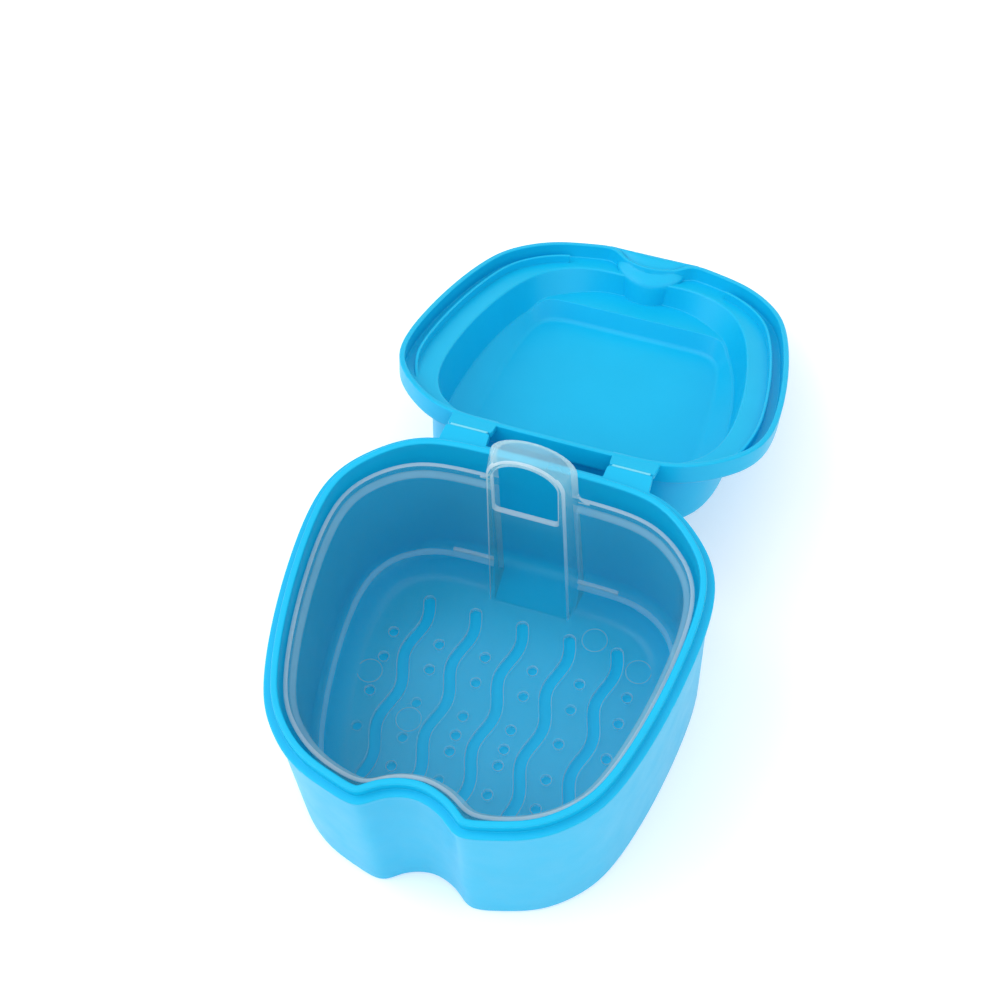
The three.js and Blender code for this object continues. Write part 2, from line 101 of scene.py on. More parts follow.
# ---------------------------------------------------------------- outlines and rings
def curve(half, t):
    right = np.array(half, float)
    pts = np.vstack([right, right[1:-1][::-1] * [-1, 1]])
    t = np.asarray(t, float)
    i = np.floor(t).astype(int)
    f = t - i
    w = [(1 - f) ** 3, 3 * f**3 - 6 * f**2 + 4, -3 * f**3 + 3 * f**2 + 3 * f + 1, f**3]
    out = 0
    for k in range(4):
        out = out + w[k][:, None] * pts[(i - 1 + k) % len(pts)]
    return out / 6


def inset(half, t, d):
    p = curve(half, t)
    tangent = curve(half, np.asarray(t) + 0.02) - curve(half, np.asarray(t) - 0.02)
    tangent /= np.linalg.norm(tangent, axis=1)[:, None]
    return p + np.column_stack([-tangent[:, 1], tangent[:, 0]]) * np.reshape(d, (-1, 1))


def raise_to(p, z):
    return np.column_stack([p, np.broadcast_to(z, len(p))]).astype(float)


def ring(half, d, z):
    p = inset(half, T, d)
    return raise_to(p, z(p[:, 0], p[:, 1]) if callable(z) else z)


def wall(z, d):
    top = inset(OUT, T, 0.9 + d)
    foot = inset(OUT, T, d) * [0.962, 0.984] + [0, -0.1]
    return raise_to(top + (foot - top) * (1 - z / FLANGE_Z), z)


def shrink(r, factor, centre=(0, 0), z=None):
    out = r.copy()
    out[:, :2] = (out[:, :2] - centre) * factor + centre
    if z is not None:
        out[:, 2] = z(out[:, 0], out[:, 1]) if callable(z) else z
    return out


def rounded(stack, steps=5):
    """Rounds the corner that each ring makes with its neighbours; the number is the rounding's tangent length."""
    out = []
    for i, (b, r) in enumerate(stack):
        if r <= 0 or i in (0, len(stack) - 1):
            out.append(b)
            continue
        a, c = stack[i - 1][0], stack[i + 1][0]
        la = np.maximum(np.linalg.norm(a - b, axis=1), 1e-9)[:, None]
        lc = np.maximum(np.linalg.norm(c - b, axis=1), 1e-9)[:, None]
        p = b + (a - b) / la * np.minimum(r, 0.46 * la)
        q = b + (c - b) / lc * np.minimum(r, 0.46 * lc)
        for k in range(steps + 1):
            u = k / steps
            out.append((1 - u) ** 2 * p + 2 * u * (1 - u) * b + u * u * q)
    return out


def skin(rings, closed=True):
    """A closed skin over a stack of rings with an n-gon at each end."""
    n = len(rings[0])
    points = np.vstack(rings)
    faces = []
    for r in range(len(rings) - 1):
        for k in range(n):
            a, b = r * n + k, r * n + (k + 1) % n
            faces.append((a, b, b + n, a + n))
    faces.append(tuple(reversed(range(n))))
    faces.append(tuple(range((len(rings) - 1) * n, len(rings) * n)))
    return points, faces


# ---------------------------------------------------------------- mesh objects
def make(name, points, faces, material=None):
    mesh = bpy.data.meshes.new(name)
    mesh.from_pydata([tuple(p) for p in np.asarray(points, float)], [], [tuple(f) for f in faces])
    if material:
        mesh.materials.append(material)
    mesh.validate(clean_customdata=False)
    mesh.update()
    obj = bpy.data.objects.new(name, mesh)
    bpy.context.scene.collection.objects.link(obj)
    return obj


def bake(obj):
    deps = bpy.context.evaluated_depsgraph_get()
    mesh = bpy.data.meshes.new_from_object(obj.evaluated_get(deps))
    obj.modifiers.clear()
    old = obj.data
    obj.data = mesh
    bpy.data.meshes.remove(old)


def drop(obj):
    mesh = obj.data
    bpy.data.objects.remove(obj)
    bpy.data.meshes.remove(mesh)


def combine(obj, other, operation):
    m = obj.modifiers.new("b", "BOOLEAN")
    m.operation, m.solver, m.object = operation, "EXACT", other
    m.material_mode = "TRANSFER"
    bpy.context.view_layer.update()
    bake(obj)
    drop(other)


def bevel(obj, width, segments=3, angle=40):
    m = obj.modifiers.new("v", "BEVEL")
    m.width, m.segments, m.limit_method, m.angle_limit = width, segments, "ANGLE", math.radians(angle)
    bpy.context.view_layer.update()
    bake(obj)


def prism(outline, z0, z1):
    """An outline (counter-clockwise from above) pulled up from z0 to z1."""
    n = len(outline)
    low = [(x, y, z0) for x, y in outline]
    high = [(x, y, z1) for x, y in outline]
    return skin([np.array(low), np.array(high)])


def joined(parts):
    points, faces, base = [], [], 0
    for p, f in parts:
        points.append(np.asarray(p, float))
        faces += [tuple(base + i for i in face) for face in f]
        base += len(p)
    return np.vstack(points), faces


def settle(obj, name, matrix=None, angle=38):
    """mm to metres, tidy, smooth with sharp edges kept, and face-weighted normals."""
    bm = bmesh.new()
    bm.from_mesh(obj.data)
    bmesh.ops.remove_doubles(bm, verts=bm.verts, dist=0.0015)
    bmesh.ops.dissolve_degenerate(bm, edges=bm.edges, dist=0.0015)
    gaps = [e for e in bm.edges if e.is_boundary and e.calc_length() > 0.02]
    if gaps:
        bmesh.ops.holes_fill(bm, edges=gaps, sides=8)
    if matrix is not None:
        bmesh.ops.transform(bm, matrix=matrix, verts=bm.verts)
    bmesh.ops.scale(bm, vec=(0.001, 0.001, 0.001), verts=bm.verts)
    bm.to_mesh(obj.data)
    bm.free()
    obj.data.shade_smooth()
    obj.data.set_sharp_from_angle(angle=math.radians(angle))
    m = obj.modifiers.new("w", "WEIGHTED_NORMAL")
    m.mode, m.weight, m.keep_sharp = "FACE_AREA", 50, True
    bpy.context.view_layer.update()
    bake(obj)
    obj.name = name
    obj.data.name = name
    return obj


# ---------------------------------------------------------------- materials
class Nodes:
    def __init__(self, name):
        self.mat = bpy.data.materials.new(name)
        self.mat.use_nodes = True
        self.tree = self.mat.node_tree
        self.tree.nodes.clear()

    def add(self, kind, **settings):
        node = self.tree.nodes.new(kind)
        for key, value in settings.items():
            if hasattr(node, key):
                setattr(node, key, value)
            else:
                node.inputs[key.replace("_", " ")].default_value = value
        return node

    def link(self, a, b):
        self.tree.links.new(a, b)
        return b

    def noise(self, scale, detail=3.0, rough=0.5, stretch=(1, 1, 1)):
        coord = self.add("ShaderNodeTexCoord")
        mapping = self.add("ShaderNodeMapping")
        mapping.inputs["Scale"].default_value = stretch
        self.link(coord.outputs["Object"], mapping.inputs["Vector"])
        node = self.add("ShaderNodeTexNoise")
        node.inputs["Scale"].default_value = scale
        node.inputs["Detail"].default_value = detail
        node.inputs["Roughness"].default_value = rough
        self.link(mapping.outputs["Vector"], node.inputs["Vector"])
        return node.outputs["Fac"]

    def spread(self, source, lo, hi, a=0.3, b=0.7):
        node = self.add("ShaderNodeMapRange")
        node.inputs["From Min"].default_value = a
        node.inputs["From Max"].default_value = b
        node.inputs["To Min"].default_value = lo
        node.inputs["To Max"].default_value = hi
        self.link(source, node.inputs["Value"])
        return node.outputs["Result"]

    def tint(self, source, colours):
        node = self.add("ShaderNodeValToRGB")
        ramp = node.color_ramp
        while len(ramp.elements) > 1:
            ramp.elements.remove(ramp.elements[-1])
        ramp.elements[0].position, ramp.elements[0].color = colours[0][0], (*colours[0][1], 1)
        for pos, colour in colours[1:]:
            e = ramp.elements.new(pos)
            e.color = (*colour, 1)
        self.link(source, node.inputs["Fac"])
        return node.outputs["Color"]

    def grain(self, parts):
        """Bump from one or two fine noises, over edges that the shader softens by a tenth of a millimetre."""
        soft = self.add("ShaderNodeBevel")
        soft.samples = 4
        soft.inputs["Radius"].default_value = 0.00018
        normal = soft.outputs["Normal"]
        for source, distance, strength in parts:
            node = self.add("ShaderNodeBump")
            node.inputs["Strength"].default_value = strength
            node.inputs["Distance"].default_value = distance
            self.link(source, node.inputs["Height"])
            self.link(normal, node.inputs["Normal"])
            normal = node.outputs["Normal"]
        return normal

    def output(self, shader):
        self.link(shader, self.add("ShaderNodeOutputMaterial").inputs["Surface"])
        return self.mat


def blue_plastic(name, dark, light, roughness):
    n = Nodes(name)
    p = n.add("ShaderNodeBsdfPrincipled")
    cloud = n.noise(55, 3)
    n.link(n.tint(cloud, [(0.30, dark), (0.70, light)]), p.inputs["Base Color"])
    n.link(n.spread(n.noise(120, 4, 0.6), roughness - 0.04, roughness + 0.05), p.inputs["Roughness"])
    n.link(n.grain([(n.noise(2600, 3, 0.6), 0.00001, 0.35), (n.noise(140, 2), 0.00008, 0.10)]), p.inputs["Normal"])
    p.inputs["IOR"].default_value = 1.47
    p.inputs["Specular IOR Level"].default_value = 0.26
    p.inputs["Subsurface Weight"].default_value = 0.06
    p.inputs["Subsurface Radius"].default_value = (0.2, 0.8, 1.0)
    p.inputs["Subsurface Scale"].default_value = 0.0012
    return n.output(p.outputs["BSDF"])


def milky_plastic(name, axis_stops, milk_tint_and_painted_bounce, through_tint_and_painted_bounce=(0.58, 0.95, 1.0), top=0.066):
    """Natural polypropylene: part clear, part milky; axis_stops gives how milky it is at each height in mm."""
    n = Nodes(name)
    clear = n.add("ShaderNodeBsdfTransparent")
    clear.inputs["Color"].default_value = (0.96, 0.998, 1.0, 1)
    milk = n.add("ShaderNodeBsdfPrincipled")
    cloud = n.noise(70, 3)
    # the milk colour and the light let through are milky white tinted cyan, a painted blue bounce light from the tub
    tone = [tuple(c * 0.94 for c in milk_tint_and_painted_bounce), milk_tint_and_painted_bounce]
    n.link(n.tint(cloud, [(0.3, tone[0]), (0.7, tone[1])]), milk.inputs["Base Color"])
    n.link(n.spread(n.noise(160, 4, 0.6), 0.30, 0.42), milk.inputs["Roughness"])
    normal = n.grain([(n.noise(2200, 3, 0.6), 0.00001, 0.3), (n.noise(110, 2), 0.00010, 0.15)])
    n.link(normal, milk.inputs["Normal"])
    milk.inputs["IOR"].default_value = 1.49
    coord = n.add("ShaderNodeTexCoord")
    split = n.add("ShaderNodeSeparateXYZ")
    n.link(coord.outputs["Object"], split.inputs["Vector"])
    height = n.spread(split.outputs["Z"], 0.0, 1.0, 0.0, top)
    ramp = n.tint(height, [(z / (top * 1000), (v, v, v)) for z, v in axis_stops])
    vary = n.spread(n.noise(45, 3), 0.86, 1.12)
    amount = n.add("ShaderNodeMath", operation="MULTIPLY")
    n.link(ramp, amount.inputs[0])
    n.link(vary, amount.inputs[1])
    through = n.add("ShaderNodeBsdfTranslucent")
    through.inputs["Color"].default_value = (*through_tint_and_painted_bounce, 1)
    n.link(normal, through.inputs["Normal"])
    scatter = n.add("ShaderNodeMixShader")
    scatter.inputs[0].default_value = 0.45
    n.link(milk.outputs["BSDF"], scatter.inputs[1])
    n.link(through.outputs["BSDF"], scatter.inputs[2])
    body = n.add("ShaderNodeMixShader")
    n.link(amount.outputs["Value"], body.inputs[0])
    n.link(clear.outputs["BSDF"], body.inputs[1])
    n.link(scatter.outputs["Shader"], body.inputs[2])
    gloss = n.add("ShaderNodeBsdfGlossy")
    gloss.inputs["Roughness"].default_value = 0.24
    n.link(normal, gloss.inputs["Normal"])
    edge = n.add("ShaderNodeFresnel")
    edge.inputs["IOR"].default_value = 1.24
    n.link(normal, edge.inputs["Normal"])
    # gloss only where a ray meets the plastic from outside
    side = n.add("ShaderNodeNewGeometry")
    front = n.add("ShaderNodeMath", operation="SUBTRACT")
    front.inputs[0].default_value = 1.0
    n.link(side.outputs["Backfacing"], front.inputs[1])
    outside = n.add("ShaderNodeMath", operation="MULTIPLY")
    n.link(edge.outputs["Fac"], outside.inputs[0])
    n.link(front.outputs["Value"], outside.inputs[1])
    skin_mix = n.add("ShaderNodeMixShader")
    n.link(outside.outputs["Value"], skin_mix.inputs[0])
    n.link(body.outputs["Shader"], skin_mix.inputs[1])
    n.link(gloss.outputs["BSDF"], skin_mix.inputs[2])
    return n.output(skin_mix.outputs["Shader"])


BLUE = blue_plastic("case_blue", (0.002, 0.455, 0.748), (0.003, 0.475, 0.778), 0.36)
# the hinge web's paler blue is a painted highlight along the thin web
WEB_PAINTED_HIGHLIGHT = blue_plastic("hinge_web", (0.13, 0.66, 0.86), (0.17, 0.70, 0.89), 0.30)
# milky white tinted cyan: painted blue bounce light from the tub
HANDLE_MILK_AND_PAINTED_BOUNCE = (0.50, 0.88, 0.96)
MILK_BODY = milky_plastic(
    "basket_body",
    [(0, 0.085), (3.7, 0.085), (5.2, 0.07), (9.3, 0.07), (10.0, 0.08), (11.2, 0.08), (12.5, 0.10), (38, 0.10), (41.8, 0.10), (42.6, 0.10), (43.4, 0.09), (44.4, 0.11), (45.1, 0.30), (66, 0.30)],
    (0.38, 0.82, 0.98),
    through_tint_and_painted_bounce=(0.36, 0.88, 1.0),
)
MILK_HANDLE = milky_plastic(
    "basket_handle_front",
    [(0, 0.030), (24, 0.022), (38, 0.026), (43, 0.07), (46, 0.12), (54, 0.18), (60, 0.22), (66, 0.26)],
    HANDLE_MILK_AND_PAINTED_BOUNCE,
)
MILK_SIDE = milky_plastic(
    "basket_handle_side",
    [(0, 0.10), (24, 0.10), (42, 0.13), (50, 0.20), (56, 0.27), (66, 0.30)],
    (0.56, 0.93, 1.00),
)
# whiter ledge tops: partly thicker plastic at the corner, partly a painted highlight along the ledge
LEDGE_MILK_AND_PAINTED_HIGHLIGHT = milky_plastic("basket_ledge_milk_and_painted_highlight", [(0, 0.36), (12, 0.36), (40, 0.34), (66, 0.34)], (0.66, 0.93, 0.99))
# whiter rim top, handle edges, gussets, ribs and cut edges, whitest high up: partly thicker milky plastic, partly a
# painted highlight
EDGE_MILK_AND_PAINTED_HIGHLIGHT = milky_plastic("basket_edge_milk_and_painted_highlight", [(0, 0.26), (30, 0.42), (66, 0.70)], (0.94, 0.99, 1.00), through_tint_and_painted_bounce=(0.82, 0.97, 1.0))


# ---------------------------------------------------------------- base tub
def leaf_outline(sign, y0, y1, x0, x1, flare, r=0.8):
    """Plan of a hinge leaf, from its root y0 to its free end y1, a little wider at the root."""
    pts = [(x1 + flare, y0)]
    for k in range(5):
        a = math.pi / 2 * k / 4
        pts.append((x1 - r + r * math.cos(a), y1 - r + r * math.sin(a)))
    for k in range(5):
        a = math.pi / 2 * (1 + k / 4)
        pts.append((x0 + r + r * math.cos(a), y1 - r + r * math.sin(a)))
    pts.append((x0 - flare, y0))
    if sign < 0:
        pts = [(-x, y) for x, y in reversed(pts)]
    return pts


def build_tub():
    rings = rounded([
        (shrink(wall(0, 0), 0.86), 0),
        (wall(0, 0), 1.4),
        (wall(FLANGE_Z, 0), 0.25),
        (ring(OUT, 0, FLANGE_Z), 0.3),
        (ring(OUT, 0, LEDGE_Z), 0.38),
        (ring(OUT, LEDGE_W, LEDGE_Z), 0.22),
        (ring(OUT, LEDGE_W, LIP_TOP), 0.45),
        (ring(OUT, LIP_IN, LIP_TOP), 0.5),
        (ring(OUT, LIP_IN + 0.1, 41), 1.5),
        (wall(2.0, 2.0), 4.0),
        (shrink(wall(2.0, 2.0), 0.82), 0),
    ])
    tub = make("tub", *skin(rings), BLUE)
    for s in (-1, 1):
        leaf = make("leaf", *prism(leaf_outline(s, 43.0, 48.9, 14.2, 25.0, 0.35), 45.42, 46.95), BLUE)
        bevel(leaf, 0.22)
        combine(tub, leaf, "UNION")
    return tub


# ---------------------------------------------------------------- lid, closed, then turned open
def smooth(a, b, v):
    t = np.clip((v - a) / (b - a), 0, 1)
    return t * t * (3 - 2 * t)


def panel_z(x, y):
    return LID_Z + 15.0 + 0.1 * (y + 28)


def crease(d, dz, cut=None):
    """The foot of the dome's steep upper tier, level with the step at the front; cut pulls the step's end back."""
    ym = curve(CREASE, T)[:, 1]
    p = inset(CREASE, T, d)
    if cut is not None:
        p[:, 1] = cut + 1.2 * np.log1p(np.exp(np.minimum((p[:, 1] - cut) / 1.2, 60)))
    z = LID_Z + 9.8
    drop = 2.0 + 1.2 * (1 - smooth(14, 37, ym))
    z = z + (panel_z(p[:, 0], ym) - drop - z) * smooth(-29, -23.5, ym)
    return raise_to(p, z + dz)


def notch(x, y):
    """1 along the scoop, 0 elsewhere."""
    return np.where(y < -36, 1 - smooth(6, 9.5, np.abs(x)), 0)


def edge_ring(d, thinner=0):
    """The skirt's edge; along the scoop it lies deeper and can be thinner."""
    base = curve(OUT, T)
    along = notch(base[:, 0], base[:, 1])
    p = inset(OUT, T, d - thinner * along)
    return raise_to(p, LID_Z + 0.8 * along)


CUP = [
    [1.3, 7.0, 2.5], [1.8, 7.8, 2.8], [2.3, 8.9, 3.3], [2.6, 9.5, 3.9], [3.3, 9.4, 5.3], [4.2, 8.7, 6.1],
    [6.0, 8.0, 6.5], [8.0, 7.5, 6.8], [9.8, 7.2, 7.0], [11.6, 7.1, 7.1],
]
CUP_Y = -43.0


def cup_loft(less, extra=()):
    sections = np.array(CUP + list(extra), float)
    hs = np.linspace(sections[0, 0], sections[-1, 0], 26)
    rings = []
    for h in hs:
        a = np.interp(h, sections[:, 0], sections[:, 1]) - less
        b = np.interp(h, sections[:, 0], sections[:, 2]) - less
        u = np.arange(72) * 2 * math.pi / 72
        rings.append(np.column_stack([a * np.cos(u), CUP_Y + b * np.sin(u), np.full(72, LID_Z + h)]))
    for _ in range(3):
        rings = [rings[0]] + [(rings[i - 1] + 2 * rings[i] + rings[i + 1]) / 4 for i in range(1, len(rings) - 1)] + [rings[-1]]
    return skin(rings)


def build_lid():
    pz = panel_z
    rings = rounded([
        (shrink(ring(PANEL, 0, pz), 0.82, (0, 4), pz), 0),
        (ring(PANEL, 0, pz), 1.1),
        (crease(0.55, 0.12, -29.2), 0.14),
        (crease(0, 0), 0.16),
        (ring(MOUTH, 0, LID_Z + 3.8), 0.5),
        (ring(OUT, 1.5, LID_Z + 3.8), 0.35),
        (edge_ring(1.4, 0.55), 0.3),
        (edge_ring(0), 0.38),
        (ring(OUT, 0.3, LID_Z + 5.6), 1.1),
        (ring(MOUTH, -1.5, LID_Z + 5.6), 0.8),
        (crease(-2.1, 1.5), 1.2),
        (crease(-1.0, 1.7, -30.0), 0.4),
        (ring(PANEL, -1.4, lambda x, y: pz(x, y) + 1.6), 1.5),
        (shrink(ring(PANEL, -1.4, pz), 0.82, (0, 4), lambda x, y: pz(x, y) + 1.6), 0),
    ])
    lid = make("lid_shell", *skin(rings), BLUE)
    # the thumb recess; only what lies behind the outer faces of the skirt and the front wall joins the lid
    keep = make("keep", *prism([(-11, -40.9), (11, -40.9), (11, -30), (-11, -30)], LID_Z + 2.2, LID_Z + 11.4), BLUE)
    combine(keep, make("band", *prism([tuple(v) for v in inset(OUT, T, 0.62)], LID_Z + 1.32, LID_Z + 5.2), BLUE), "UNION")
    cup = make("cup", *cup_loft(0), BLUE)
    combine(cup, keep, "INTERSECT")
    combine(lid, cup, "UNION")
    combine(lid, make("cut", *cup_loft(1.5, [[15.6, 7.3, 7.4]]), BLUE), "DIFFERENCE")
    # thumb tab across the scoop: a level outer band, then a dish that slopes down to the scoop's wall
    half = 12.2
    xs = np.linspace(-half, half, 49)
    outer = np.column_stack([xs, -45.62 - 0.35 * (1 - (xs / half) ** 2)])
    inner = inset(OUT, 2.9 * xs / half + SPANS, 0.7)
    across = [(0.0, 0.25), (0.06, 0.06), (0.16, 0.0), (0.26, 0.03), (0.36, 0.22), (0.52, 0.85), (0.70, 1.55), (0.86, 1.95), (1.0, 2.1)]
    side = 1 - smooth(8.0, 11.6, np.abs(xs))
    rows = []
    for f, h in across:
        p = outer + (inner - outer) * f
        rows.append(raise_to(p, LID_Z + 0.03 + h * side))
    for f, h in across[::-1]:
        p = outer + (inner - outer) * f
        rows.append(raise_to(p, LID_Z + 1.4 + 0.75 * h * side))
    points, faces = skin([np.array([row[k] for row in rows]) for k in range(len(xs))])
    tab = make("tab", points, faces, BLUE)
    fix_winding(tab)
    combine(lid, tab, "UNION")
    # seal rib with a rounded tip, running out towards the hinge
    for t in (np.linspace(4.55, 10.8, 150), np.linspace(SPANS - 10.8, SPANS - 4.55, 150)):
        fade = smooth(9.7, 10.8, np.minimum(t, SPANS - t))
        profile = [(3.9, 4.4), (3.9, 2.0), (3.97, 1.75), (4.15, 1.62), (4.3, 1.6), (4.45, 1.62), (4.63, 1.75), (4.7, 2.0), (4.7, 4.4)]
        rows = [raise_to(inset(OUT, t, d), LID_Z + h + (4.2 - h) * 0.99 * fade) for d, h in profile]
        points, faces = skin([np.array([row[k] for row in rows]) for k in range(len(t))])
        rib = make("rib", points, faces, BLUE)
        fix_winding(rib)
        combine(lid, rib, "UNION")
    for s in (-1, 1):
        leaf = make("leaf", *prism(leaf_outline(s, 43.8, 48.9, 14.2, 25.0, 0.3), LID_Z + 0.04, LID_Z + 1.6), BLUE)
        bevel(leaf, 0.22)
        combine(lid, leaf, "UNION")
    return lid


def fix_winding(obj):
    bm = bmesh.new()
    bm.from_mesh(obj.data)
    if bm.calc_volume(signed=True) < 0:
        bmesh.ops.reverse_faces(bm, faces=bm.faces)
    bm.to_mesh(obj.data)
    bm.free()


OPEN = (
    Matrix.Translation((0, HINGE_Y, HINGE_Z))
    @ Matrix.Rotation(math.radians(-LID_OPEN), 4, "X")
    @ Matrix.Translation((0, -HINGE_Y, -HINGE_Z))
)


# ---------------------------------------------------------------- strainer basket
def mixed(a, b, f, z):
    out = a + (b - a) * f
    out[:, 2] = z
    return out


def arch(grow, share, z_low):
    """The handle's arch as seen from the front: half widths go from the front edge (share 0) to the back edge (share 1)."""
    rise = 8.3 + grow
    zc = HANDLE_TOP + grow - rise

    def half(z):
        f = (z - 3.5) / (HANDLE_TOP - 3.5)
        w0, w1 = 10.2 - 1.3 * f, 11.2 - 1.0 * f
        return w0 + (w1 - w0) * share + grow

    pts = [(-half(z), z) for z in np.linspace(z_low, zc, 24)]
    w = half(zc)
    for a in np.linspace(math.pi, 0, 45)[1:-1]:
        c = math.cos(a)
        pts.append((w * c, zc + rise * math.sin(a)))
    pts += [(half(z), z) for z in np.linspace(zc, z_low, 24)]
    return np.array(pts)


def front_y(z):
    return 29.3 + 3.7 * (z - 3.5) / (HANDLE_TOP - 3.5)


def arch_rows(grow, share, y, z_low):
    p = arch(grow, share, z_low)
    yy = y(p[:, 1]) if callable(y) else np.full(len(p), y)
    return np.column_stack([p[:, 0], yy, p[:, 1]])


def inner_wall(t, z):
    low, high = inset(BASKET_STEP, t, -0.9), inset(BASKET_RIM, t, 2.45)
    return low + (high - low) * (z - 11.0) / 31.5


def build_basket():
    F, S = ring(BASKET_FLOOR, 0, 0), ring(BASKET_STEP, 0, 0)
    Fo, So = ring(BASKET_FLOOR, -0.9, 0), ring(BASKET_STEP, -0.95, 0)
    # from the floor's underside, up the outside, over the rim and down the inside to the floor
    stack = [
        (shrink(ring(BASKET_FLOOR, 0, 2.3), 0.86), 0),
        (ring(BASKET_FLOOR, 0, 2.3), 0.5),
        (mixed(Fo, So, 0.35, 3.3), 1.0),
        (mixed(Fo, So, 0.80, 6.2), 1.4),
        (ring(BASKET_STEP, -0.95, 9.4), 0.4),
        (ring(BASKET_STEP, -1.9, 10.4), 0.4),
        (ring(BASKET_RIM, 1.45, 41.6), 0.3),
        (ring(BASKET_RIM, 0.15, 42.5), 0.3),
        (ring(BASKET_RIM, 0, 45.3), 0.28),
        (ring(BASKET_RIM, 1.0, 45.3), 0.28),
        (ring(BASKET_RIM, 1.1, 43.3), 0.5),
        (ring(BASKET_RIM, 2.45, 42.5), 0.5),
        (ring(BASKET_STEP, -0.9, 11.0), 0.4),
        (ring(BASKET_STEP, 0, 10.1), 0.4),
        (mixed(F, S, 0.78, 7.0), 1.4),
        (mixed(F, S, 0.36, 4.5), 0.9),
        (mixed(F, S, -0.04, 3.5), 0.6),
        (shrink(ring(BASKET_FLOOR, 0, 3.5), 0.9), 0),
    ]
    basket = make("basket_shell", *skin(rounded(stack, 4)), MILK_BODY)
    # the handle: a channel open to the back and at the bottom
    low = 2.3
    outer = rounded([
        (arch_rows(-1.6, 0, front_y, low), 0),
        (arch_rows(0, 0, front_y, low), 0.8),
        (arch_rows(0, 1, 39.1, low), 0.35),
        (arch_rows(-0.55, 1, 39.1, low), 0),
    ], 5)
    shell = make("arch_outer", *skin(outer), MILK_HANDLE)
    fix_winding(shell)
    combine(basket, shell, "UNION")
    # the rim runs up into the handle's back edges
    for s in (-1, 1):
        r, x0, z0 = 2.6, 10.3, 44.9
        cx, cz = 10.5 + r, 45.25 + r
        pts = [(x0, z0), (cx, z0)] + [(cx + r * math.cos(a), cz + r * math.sin(a)) for a in np.linspace(-math.pi / 2, -math.pi, 13)] + [(x0, cz)]
        rows = [np.array([(s * x, y, z) for x, z in pts]) for y in (38.25, 39.0)]
        gusset = make("gusset", *skin(rows), EDGE_MILK_AND_PAINTED_HIGHLIGHT)
        fix_winding(gusset)
        combine(basket, gusset, "UNION")
    extras = []
    # short ribs beside the handle, just above the low ledge
    for s in (-1, 1):
        t = np.linspace(SPANS / 2 - 1.62, SPANS / 2 - 0.72, 12)
        a = inner_wall(t, 12.6)
        rows = []
        for k in range(len(t)):
            x, y = a[k]
            rows.append(np.array([(s * x, y + 0.6, 12.3), (s * x, y - 0.75, 12.35), (s * x, y - 0.75, 13.0), (s * x, y + 0.6, 13.3)]))
        extras.append((skin(rows), s))
    for (p, f), s in extras:
        rib = make("rib", p, f, EDGE_MILK_AND_PAINTED_HIGHLIGHT)
        fix_winding(rib)
        combine(basket, rib, "UNION")
    # round marks in the floor
    for cx, cy in PIN_MARKS:
        u = np.arange(48) * 2 * math.pi / 48
        rows = [
            np.column_stack([cx + r * np.cos(u), cy + r * np.sin(u), np.full(48, z)])
            for r, z in ((3.16, 3.2), (3.16, 3.53), (3.1, 3.57), (3.0, 3.57), (2.94, 3.53), (2.94, 3.2))
        ]
        n = 48
        pts = np.vstack(rows)
        faces = []
        for r in range(6):
            for k in range(n):
                a, b = r * n + k, r * n + (k + 1) % n
                c, d = ((r + 1) % 6) * n + (k + 1) % n, ((r + 1) % 6) * n + k
                faces.append((a, b, c, d))
        mark = make("mark", pts, faces, LEDGE_MILK_AND_PAINTED_HIGHLIGHT)
        fix_winding(mark)
        combine(basket, mark, "UNION")
    inner = [arch_rows(-1.15, 0, lambda z: front_y(z) + 1.15, 0), arch_rows(-1.15, 1, 44.0, 0)]
    hollow = make("arch_inner", *skin(inner), MILK_HANDLE)
    fix_winding(hollow)
    combine(basket, hollow, "DIFFERENCE")
    # the finger opening, its front edge rounded
    def opening(grow, y):
        w, z0, zc, z1 = 7.6 + grow, 43.6 - grow, 55.7, 62.4 + grow
        pts = []
        for cx, a0 in ((w - 1.2, -90), (1.2 - w, 180)):
            for k in range(9):
                a = math.radians(a0 + 90 * k / 8)
                pts.append((cx + 1.2 * math.cos(a), z0 + 1.2 + 1.2 * math.sin(a)))
            if cx > 0:
                pts += [(w * math.cos(a), zc + (z1 - zc) * math.sin(a)) for a in np.linspace(0, math.pi, 41)]
        return np.array([(x, y(z) if callable(y) else y, z) for x, z in pts])

    stack = [opening(0.9, lambda z: front_y(z) - 0.6), opening(0.35, lambda z: front_y(z) + 0.02), opening(0.1, lambda z: front_y(z) + 0.22), opening(0, lambda z: front_y(z) + 0.45), opening(0, 36.5)]
    hole = make("opening", *skin(stack), EDGE_MILK_AND_PAINTED_HIGHLIGHT)
    fix_winding(hole)
    combine(basket, hole, "DIFFERENCE")
